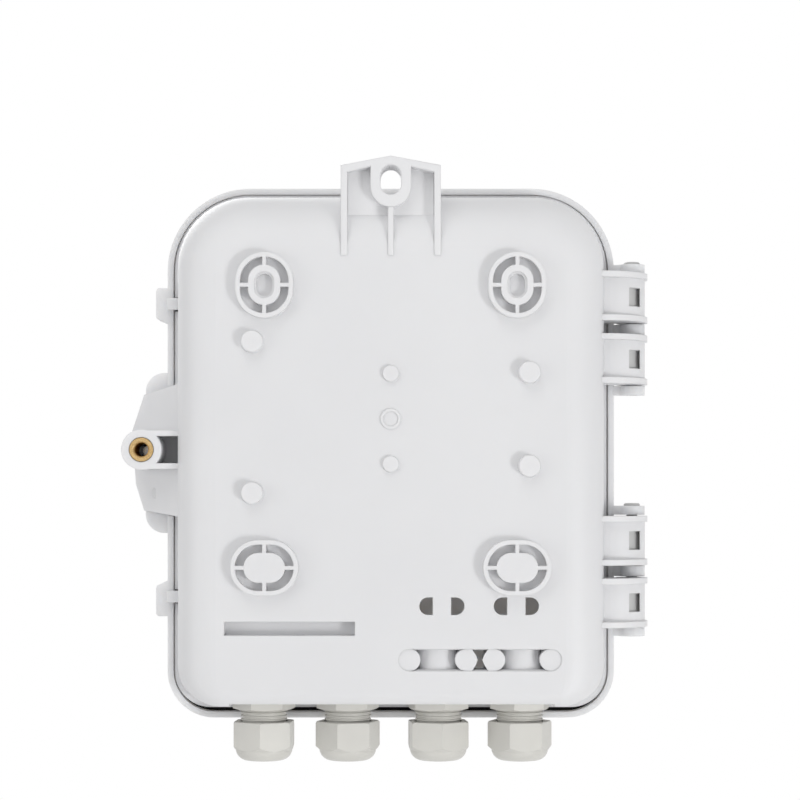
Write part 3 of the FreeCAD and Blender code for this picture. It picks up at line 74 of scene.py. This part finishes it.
def noise(nodes, links, place, scale, detail=3.0, roughness=0.5):
    node = addNode(nodes, "ShaderNodeTexNoise", Scale=scale, Detail=detail, Roughness=roughness)
    links.new(place, node.inputs["Vector"])
    return node.outputs["Fac"]


def coloured(nodes, links, shader, pattern, look, span=noiseSpan):
    node = nodes.new("ShaderNodeValToRGB")
    for element, position, colour in zip(node.color_ramp.elements, span, (look["shade"], look["colour"])):
        element.position = position
        element.color = (*colour, 1)
    links.new(pattern, node.inputs["Fac"])
    links.new(node.outputs["Color"], shader.inputs["Base Color"])


def roughened(nodes, links, shader, pattern, look):
    low, high = look["rough"]
    node = addNode(nodes, "ShaderNodeMapRange", From_Min=noiseSpan[0], From_Max=noiseSpan[1], To_Min=low,
                   To_Max=high)
    links.new(pattern, node.inputs["Value"])
    links.new(node.outputs["Result"], shader.inputs["Roughness"])


def softEdges(nodes, radius, samples=4):
    node = addNode(nodes, "ShaderNodeBevel", Radius=radius)
    node.samples = samples
    return node.outputs["Normal"]


def bumped(nodes, links, shader, height, distance, strength, normal=None):
    node = addNode(nodes, "ShaderNodeBump", Distance=distance, Strength=strength)
    links.new(height, node.inputs["Height"])
    if normal:
        links.new(normal, node.inputs["Normal"])
    links.new(node.outputs["Normal"], shader.inputs["Normal"])


# What the moulded plastics share: faint clouds of colour, a smear of roughness and a fine grain
mouldedLook = dict(rough=(0.4, 0.5), cloudScale=14.0, cloudDetail=2.0, smearScale=45.0, smearDetail=4.0,
                   smearRoughness=0.6, grain=0.00004, grainScale=1400.0, grainDetail=2.0, grainStrength=0.35,
                   edge=0.0006, specular=0.42, glowThrough=0.0, glowDepth=0.001, glowColour=(1.0, 0.95, 0.9))
basePlastic = dict(mouldedLook, colour=(0.795, 0.795, 0.805), shade=(0.77, 0.77, 0.782), glowThrough=0.3,
                   glowDepth=0.004)
coverPlastic = dict(mouldedLook, colour=(0.84, 0.84, 0.85), shade=(0.82, 0.82, 0.832), glowThrough=0.75,
                    glowDepth=0.009)
ribPlastic = dict(mouldedLook, colour=(0.8, 0.8, 0.81), shade=(0.78, 0.78, 0.792))
glandNylon = dict(mouldedLook, colour=(0.665, 0.655, 0.615), shade=(0.62, 0.61, 0.575), rough=(0.36, 0.46),
                  grain=0.00003, edge=0.0005, specular=0.45, cloudScale=60.0)
trayPlastic = dict(mouldedLook, colour=(0.71, 0.715, 0.72), shade=(0.67, 0.675, 0.685), rough=(0.38, 0.5),
                   edge=0.0004)
adapterPlastic = dict(mouldedLook, colour=(0.035, 0.13, 0.36), shade=(0.03, 0.105, 0.3), rough=(0.3, 0.42),
                      grain=0.00002, edge=0.0003, specular=0.5)
# Grey darker than the shell plastic, used on the hinge pins and the window walls: painted shade of the hinge
# windows
pinPlasticPaintedShade = dict(mouldedLook, colour=(0.6, 0.6, 0.595), shade=(0.56, 0.56, 0.555), rough=(0.36, 0.48),
                  grain=0.00002, edge=0.0004)
capPlastic = dict(mouldedLook, colour=(0.66, 0.68, 0.68), shade=(0.6, 0.62, 0.62), rough=(0.22, 0.32),
                  grain=0.00001, edge=0.0003, specular=0.5)


def mouldedPlastic(name, look):
    material, nodes, links, shader = newMaterial(name)
    place = objectPlace(nodes, links)
    cloud = noise(nodes, links, place, look["cloudScale"], look["cloudDetail"])
    coloured(nodes, links, shader, cloud, look)
    smear = noise(nodes, links, place, look["smearScale"], look["smearDetail"], look["smearRoughness"])
    roughened(nodes, links, shader, smear, look)
    fine = noise(nodes, links, place, look["grainScale"], look["grainDetail"])
    bumped(nodes, links, shader, fine, look["grain"], look["grainStrength"], softEdges(nodes, look["edge"]))
    shader.inputs["Specular IOR Level"].default_value = look["specular"]
    shader.inputs["Subsurface Weight"].default_value = look["glowThrough"]
    shader.inputs["Subsurface Scale"].default_value = look["glowDepth"]
    shader.inputs["Subsurface Radius"].default_value = look["glowColour"]
    return material


# Foam and rubber, which differ in colour and in the size of their pores
rubberLook = dict(cloudScale=90.0, pore=0.00003, poreScale=1200.0, poreDetail=3.0, poreRoughness=0.7,
                  poreStrength=0.6, specular=0.3)
gasketFoam = dict(rubberLook, colour=(0.022, 0.022, 0.023), shade=(0.012, 0.012, 0.013), rough=(0.85, 0.98),
                  pore=0.00015, poreScale=2600.0)
sealRubber = dict(rubberLook, colour=(0.035, 0.035, 0.036), shade=(0.024, 0.024, 0.025), rough=(0.55, 0.7))
holderRubber = dict(rubberLook, colour=(0.05, 0.05, 0.052), shade=(0.038, 0.038, 0.04), rough=(0.6, 0.75))


def rubber(name, look):
    material, nodes, links, shader = newMaterial(name)
    place = objectPlace(nodes, links)
    coloured(nodes, links, shader, noise(nodes, links, place, look["cloudScale"]), look)
    pores = noise(nodes, links, place, look["poreScale"], look["poreDetail"], look["poreRoughness"])
    roughened(nodes, links, shader, pores, look)
    bumped(nodes, links, shader, pores, look["pore"], look["poreStrength"])
    shader.inputs["Specular IOR Level"].default_value = look["specular"]
    return material


# Turned brass and steel, with fine lines round the piece
metalLook = dict(stretch=(1.0, 0.05, 1.0), lineScale=1800.0, lineDetail=2.0, lineSpan=(0.35, 0.65),
                 lineDepth=0.00002, lineStrength=0.3, edge=0.0002)
insertBrass = dict(metalLook, colour=(0.66, 0.47, 0.23), shade=(0.5, 0.34, 0.15), rough=(0.3, 0.44))
screwSteel = dict(metalLook, colour=(0.6, 0.6, 0.6), shade=(0.5, 0.5, 0.5), rough=(0.2, 0.32))


def turnedMetal(name, look):
    material, nodes, links, shader = newMaterial(name)
    place = objectPlace(nodes, links, look["stretch"])
    lines = noise(nodes, links, place, look["lineScale"], look["lineDetail"])
    coloured(nodes, links, shader, lines, look, look["lineSpan"])
    roughened(nodes, links, shader, lines, look)
    bumped(nodes, links, shader, lines, look["lineDepth"], look["lineStrength"], softEdges(nodes, look["edge"]))
    shader.inputs["Metallic"].default_value = 1.0
    return material


# The tray's clear lid
lidClear = dict(colour=(0.93, 0.95, 0.96), shade=(0.8928, 0.912, 0.9216), rough=(0.04, 0.12), smearScale=30.0,
                smearDetail=4.0, smearRoughness=0.6, through=0.92, ior=1.49)


def clearPlastic(name, look):
    material, nodes, links, shader = newMaterial(name)
    place = objectPlace(nodes, links)
    smear = noise(nodes, links, place, look["smearScale"], look["smearDetail"], look["smearRoughness"])
    coloured(nodes, links, shader, smear, look)
    roughened(nodes, links, shader, smear, look)
    shader.inputs["Transmission Weight"].default_value = look["through"]
    shader.inputs["IOR"].default_value = look["ior"]
    return material


finishes = {
    "shell_plastic": mouldedPlastic("basePlastic", basePlastic),
    "cover_plastic": mouldedPlastic("coverPlastic", coverPlastic),
    "rib_plastic": mouldedPlastic("ribPlastic", ribPlastic),
    "gland_nylon": mouldedPlastic("glandNylon", glandNylon),
    "tray_plastic": mouldedPlastic("trayPlastic", trayPlastic),
    "adapter_plastic": mouldedPlastic("adapterPlastic", adapterPlastic),
    "cap_plastic": mouldedPlastic("capPlastic", capPlastic),
    "gasket_foam": rubber("gasketFoam", gasketFoam),
    "seal_rubber": rubber("sealRubber", sealRubber),
    "holder_rubber": rubber("holderRubber", holderRubber),
    "insert_brass": turnedMetal("insertBrass", insertBrass),
    "pin_plastic": mouldedPlastic("pinPlasticPaintedShade", pinPlasticPaintedShade),
    "lock_steel": turnedMetal("lockSteel", screwSteel),
    "screw_steel": turnedMetal("screwSteel", screwSteel),
    "lid_clear": clearPlastic("lidClear", lidClear),
}

for part in frame["record"]["subparts"]:
    node = frame["nodes"][part["node"]]
    for slot in node.material_slots:
        slot.material = finishes[part["material_slot"]]
for slot in frame["nodes"]["door_cover"].material_slots:
    slot.material = finishes["cover_plastic"]  # lets more light through than the base

nearly = 1e-5  # corners this close count as one


def meshData(mesh, name):
    data = bpy.data.meshes.new(name)
    mesh.to_mesh(data)
    mesh.free()
    return data


def placed(name, data):
    thing = bpy.data.objects.new(name, data)
    bpy.context.scene.collection.objects.link(thing)
    return thing


def finishPiece(mesh, name, slotName, finish=None, sharpFrom=40):
    data = meshData(mesh, name)
    data.materials.append(finishes[finish or slotName])
    piece = placed(name, data)
    data.shade_smooth()
    data.set_sharp_from_angle(angle=math.radians(sharpFrom))
    return piece


# Threaded brass insert in the lock boss, with its knurled rim
threadedInsert = dict(teeth=48, toothDepth=0.00022, boreRadius=0.00305, rimRadius=0.0054, rim=0.0013, lead=0.0006,
                      rimEdge=0.0002, sleeveInset=0.0011, threadPitch=0.001, threadDepth=0.00028, sharpFrom=30)


def makeThreadedInsert(s):
    low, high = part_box("lock_insert")
    centre = (low + high) / 2
    mesh = bmesh.new()
    bore, rim, edge = s["boreRadius"], s["rimRadius"], s["rimEdge"]
    sleeve = (high.x - low.x) / 2 - s["sleeveInset"]
    y = high.y
    outline = [
        (bore, low.y), (sleeve, low.y), (sleeve, y - s["rim"]), (rim, y - s["rim"]), (rim, y - edge),
        (rim - edge, y), (bore + s["lead"], y),
    ]
    depth = y - s["lead"]
    while depth - s["threadPitch"] > low.y:
        outline += [(bore, depth), (bore + s["threadDepth"], depth - s["threadPitch"] / 2)]
        depth -= s["threadPitch"]
    verts = [mesh.verts.new((radius, place, 0)) for radius, place in outline]
    edges = [mesh.edges.new((a, b)) for a, b in zip(verts, verts[1:] + verts[:1])]
    steps = s["teeth"] * 2
    bmesh.ops.spin(mesh, geom=verts + edges, cent=(0, 0, 0), axis=(0, 1, 0), angle=math.tau, steps=steps,
                   use_merge=True)
    bmesh.ops.remove_doubles(mesh, verts=mesh.verts, dist=nearly)
    bmesh.ops.recalc_face_normals(mesh, faces=mesh.faces)
    for vert in mesh.verts:  # every second corner of the rim sinks in, which makes the knurl
        reach = math.hypot(vert.co.x, vert.co.z)
        turn = round(math.atan2(vert.co.z, vert.co.x) / math.tau * steps)
        if reach > rim - nearly and turn % 2:
            share = (reach - s["toothDepth"]) / reach
            vert.co.x, vert.co.z = vert.co.x * share, vert.co.z * share
    bmesh.ops.translate(mesh, verts=mesh.verts, vec=(centre.x, 0, centre.z))
    return finishPiece(mesh, "threadedInsert", "insert_brass", sharpFrom=s["sharpFrom"])


insert = makeThreadedInsert(threadedInsert)
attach(insert, "base")
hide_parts("lock_insert")
print("threaded insert made")


def flatFace(mesh, outline):
    mesh.faces.new([mesh.verts.new((x, 0, z)) for x, z in outline])


def flatBand(mesh, outer, inner):
    outerVerts, innerVerts = ([mesh.verts.new((x, 0, z)) for x, z in loop] for loop in (outer, inner))
    count = len(outer)
    for index in range(count):
        after = (index + 1) % count
        mesh.faces.new((outerVerts[index], outerVerts[after], innerVerts[after], innerVerts[index]))


# Gives flat faces a thickness: their rear at height y, their front by the depth below it
def carried(flat, y, depth):
    made = bmesh.ops.extrude_face_region(flat, geom=flat.faces[:])
    moved = [item for item in made["geom"] if isinstance(item, bmesh.types.BMVert)]
    bmesh.ops.translate(flat, verts=flat.verts, vec=(0, y, 0))
    bmesh.ops.translate(flat, verts=moved, vec=(0, -depth, 0))
    bmesh.ops.recalc_face_normals(flat, faces=flat.faces)


def rearEdges(mesh, y):
    return [edge for edge in mesh.edges if all(abs(vert.co.y - y) < nearly for vert in edge.verts)
            and edge.calc_face_angle(0) > 1]


def softened(mesh, edges, width, steps):
    bmesh.ops.bevel(mesh, geom=edges, offset=width, offset_type="OFFSET", affect="EDGES", segments=steps,
                    profile=0.5, material=-1)
    bmesh.ops.recalc_face_normals(mesh, faces=mesh.faces)


# Raised rim, rib and collar on the hanging tab, and the collar's lining of the hole
tabRim = dict(half=0.02175, wall=0.0029, shoulder=0.0063, peak=0.0104, foot=-0.0328, rib=0.00125, collar=0.0088,
              collarLow=-0.00305, holeHalf=0.0045, holeTall=0.01285, proud=0.0007, lap=0.0006, lining=0.0164,
              liningWall=0.0006, holeRound=0.00054, holeSteps=3, edgeRound=0.0003, edgeSteps=2, steps=12)


def holeLoop(s, spare=0.0):
    radius = s["holeHalf"] + spare
    rise = s["holeTall"] / 2 - s["holeHalf"]
    points = []
    for centre, start in ((rise, 0), (-rise, 180)):
        for step in range(s["steps"] + 1):
            angle = math.radians(start + 180 * step / s["steps"])
            points.append((radius * math.cos(angle), centre + radius * math.sin(angle)))
    return points


def collarLoop(s):
    slope = (s["peak"] - s["shoulder"]) / s["half"]
    wide, steps = s["collar"], s["steps"]
    innerPeak = s["peak"] - s["wall"]
    points = []
    for step in range(steps + 1):
        x = wide * (1 - 2 * step / steps)
        points.append((x, innerPeak - slope * abs(x)))
    flat = math.degrees(math.asin(s["rib"] / wide))  # half the arc that the rib takes up
    for step in range(steps + 1):
        share = step / steps
        if share < 0.5:
            angle = math.radians(180 + (90 - flat) * share * 2 * steps / (steps - 1))
        else:
            angle = math.radians(360 - (90 - flat) * (1 - share) * 2 * steps / (steps - 1))
        points.append((wide * math.cos(angle), s["collarLow"] + wide * math.sin(angle)))
    return points


def makeTabRim(s):
    mesh = bmesh.new()
    outer = collarLoop(s)
    flatBand(mesh, outer, holeLoop(s))
    half, foot, peak, rib = s["half"], s["foot"], s["peak"], s["rib"]
    inside, low, high = half - s["wall"], s["shoulder"] - s["wall"], s["shoulder"]
    lowest = min(z for x, z in outer)
    top, middle = s["steps"], s["steps"] // 2
    for outline in (
        [(half, foot), (inside, foot), (inside, low), (half, high)],
        [(-half, foot), (-inside, foot), (-inside, low), (-half, high)],
        [(rib, foot), (-rib, foot), (-rib, lowest), (rib, lowest)],
        [(half, high), (inside, low)] + outer[:middle + 1] + [(0, peak)],
        [(-half, high), (-inside, low)] + outer[middle:top + 1][::-1] + [(0, peak)],
    ):
        flatFace(mesh, outline)
    bmesh.ops.remove_doubles(mesh, verts=mesh.verts, dist=nearly)
    carried(mesh, s["proud"], s["proud"] + s["lap"])
    hole = [edge for edge in rearEdges(mesh, s["proud"])
            if all(math.hypot(vert.co.x, vert.co.z) < s["holeTall"] / 2 + nearly for vert in edge.verts)]
    softened(mesh, hole, s["holeRound"], s["holeSteps"])
    softened(mesh, rearEdges(mesh, s["proud"]), s["edgeRound"], s["edgeSteps"])
    return finishPiece(mesh, "tabRim", "shell_plastic", "rib_plastic")


def makeHoleLining(s):
    mesh = bmesh.new()
    flatBand(mesh, holeLoop(s, s["liningWall"]), holeLoop(s))
    carried(mesh, -s["lap"], s["lining"] - s["lap"])
    return finishPiece(mesh, "holeLining", "shell_plastic", "rib_plastic")


# Floor of the tab, which runs level until it meets the round of the back
tabFloor = dict(half=0.0188, inside=0.0076, peak=0.00745, slope=0.1885, foot=-0.0155, middle=-0.0066,
                highDepth=0.0054, lowDepth=0.005, thickness=0.0016)


def makeTabFloor(s):
    mesh = bmesh.new()
    inside, half, foot, middle = s["inside"], s["half"], s["foot"], s["middle"]
    insideTop, outsideTop = (s["peak"] - s["slope"] * x for x in (inside, half))
    for side in (-1, 1):
        outline = [(inside, foot), (half, foot), (half, outsideTop), (inside, insideTop), (inside, middle)]
        flatFace(mesh, [(side * x, z) for x, z in outline])
    flatFace(mesh, [(-inside, foot), (inside, foot), (inside, middle), (-inside, middle)])
    bmesh.ops.remove_doubles(mesh, verts=mesh.verts, dist=nearly)
    for vert in mesh.verts:
        share = (vert.co.z - foot) / (s["peak"] - foot)
        vert.co.y = -s["lowDepth"] - (s["highDepth"] - s["lowDepth"]) * share
    carried(mesh, 0, s["thickness"])
    return finishPiece(mesh, "tabFloor", "shell_plastic", "rib_plastic")


# Wall that closes each window of the hinge brackets, just under their curved webs; its darker pin grey is painted
# shade of the recess
windowWall = dict(axis=(-0.108, -0.033), centre=0.0112, outer=0.01438, inner=0.01372, fromTurn=118.0, toTurn=179.0,
                  half=0.006, drops=(0.0491, 0.0766, 0.1569, 0.1844), steps=14)


def makeWindowWalls(s):
    mesh = bmesh.new()
    x, y = s["axis"][0] + s["centre"], s["axis"][1]
    inner, outer, half = s["inner"], s["outer"], s["half"]
    corners = ((inner, -half), (outer, -half), (outer, half), (inner, half))
    for drop in s["drops"]:
        rows = []
        for step in range(s["steps"] + 1):
            angle = math.radians(s["fromTurn"] + (s["toTurn"] - s["fromTurn"]) * step / s["steps"])
            rows.append([mesh.verts.new((x + radius * math.cos(angle), y + radius * math.sin(angle), -drop + rise))
                         for radius, rise in corners])
        for row, after in zip(rows, rows[1:]):
            for corner in range(len(corners)):
                mesh.faces.new((row[corner], row[corner - 1], after[corner - 1], after[corner]))
        mesh.faces.new(rows[0])
        mesh.faces.new(rows[-1][::-1])
    bmesh.ops.recalc_face_normals(mesh, faces=mesh.faces)
    return finishPiece(mesh, "windowWalls", "pin_plastic")


for piece in (makeTabRim(tabRim), makeHoleLining(tabRim), makeTabFloor(tabFloor), makeWindowWalls(windowWall)):
    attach(piece, "base")
print("tab rim, floor and window walls made")


# The rear view, square to the back, with the frame shifted off the lens axis
cameraPlace = dict(place=(0.0, 1.0, -0.139), facing=(0, -1, 0), lens=103.7, sensor=36.0, shift=(0.01156, 0.125))


def makeCamera(s):
    data = bpy.data.cameras.new("camera")
    data.lens = s["lens"]
    data.sensor_width = s["sensor"]
    data.shift_x, data.shift_y = s["shift"]
    camera = placed("camera", data)
    camera.location = s["place"]
    camera.rotation_euler = Vector(s["facing"]).to_track_quat("-Z", "Y").to_euler()
    bpy.context.scene.camera = camera


# Where the camera sees it straight, in a gloss or through something clear
def whereSeen(nodes, links):
    path = nodes.new("ShaderNodeLightPath")
    seen = path.outputs["Is Camera Ray"]
    for name in ("Is Glossy Ray", "Is Transmission Ray"):
        node = nodes.new("ShaderNodeMath")
        node.operation = "MAXIMUM"
        links.new(seen, node.inputs[0])
        links.new(path.outputs[name], node.inputs[1])
        seen = node.outputs["Value"]
    return seen


# Pale floor, which shows nearly white and keeps a part of the shadow
floorLook = dict(height=-1.0, radius=5.4, segments=96, colour=(0.9, 0.9, 0.9, 1), rough=0.9, glow=1.0, seen=0.85)


def makeFloor(s):
    mesh = bmesh.new()
    bmesh.ops.create_circle(mesh, cap_ends=True, segments=s["segments"], radius=s["radius"])
    bmesh.ops.translate(mesh, verts=mesh.verts, vec=(0, 0, s["height"]))
    data = meshData(mesh, "floor")
    floor = placed("floor", data)
    material, nodes, links, shader = newMaterial("paleFloor")
    shader.inputs["Base Color"].default_value = s["colour"]
    shader.inputs["Roughness"].default_value = s["rough"]
    glow = addNode(nodes, "ShaderNodeEmission", Strength=s["glow"])
    share = nodes.new("ShaderNodeMath")
    share.operation = "MULTIPLY"
    share.inputs[1].default_value = s["seen"]
    links.new(whereSeen(nodes, links), share.inputs[0])
    mix = nodes.new("ShaderNodeMixShader")
    links.new(share.outputs["Value"], mix.inputs["Fac"])
    links.new(shader.outputs["BSDF"], mix.inputs[1])
    links.new(glow.outputs["Emission"], mix.inputs[2])
    links.new(mix.outputs["Shader"], nodes["Material Output"].inputs["Surface"])
    data.materials.append(material)


# Soft light from all round, and a white background behind the object
worldLight = dict(level=0.57, background=1.0)


def makeWorld(s):
    world = bpy.data.worlds.new("studio")
    world.use_nodes = True
    bpy.context.scene.world = world
    nodes, links = world.node_tree.nodes, world.node_tree.links
    plain = nodes["Background"]
    plain.inputs["Color"].default_value = white
    plain.inputs["Strength"].default_value = s["level"]
    behind = addNode(nodes, "ShaderNodeBackground", Color=white, Strength=s["background"])
    mix = nodes.new("ShaderNodeMixShader")
    links.new(whereSeen(nodes, links), mix.inputs["Fac"])
    links.new(plain.outputs["Background"], mix.inputs[1])
    links.new(behind.outputs["Background"], mix.inputs[2])
    links.new(mix.outputs["Shader"], nodes["World Output"].inputs["Surface"])


lampAim = (0, -0.02, -0.12)
lamps = {
    "keyLamp": dict(place=(-1.3, 1.5, -0.72), size=0.4, power=12.0),
    "topLamp": dict(place=(0.25, 0.75, 0.85), size=0.9, power=3.2),
    "fillLamp": dict(place=(1.4, 0.9, -0.1), size=0.8, power=3.3),
    "frontLamp": dict(place=(0.5, -1.1, 0.5), size=0.8, power=6.0),
}


def makeLamp(name, s):
    data = bpy.data.lights.new(name, "AREA")
    data.energy = s["power"]
    data.size = s["size"]
    lamp = placed(name, data)
    lamp.location = s["place"]
    lamp.rotation_euler = (Vector(lampAim) - Vector(s["place"])).to_track_quat("-Z", "Y").to_euler()


makeCamera(cameraPlace)
makeFloor(floorLook)
makeWorld(worldLight)
for lampName, lampSettings in lamps.items():
    makeLamp(lampName, lampSettings)
bpy.context.scene.view_settings.view_transform = "Standard"
print("camera, floor and lamps placed")
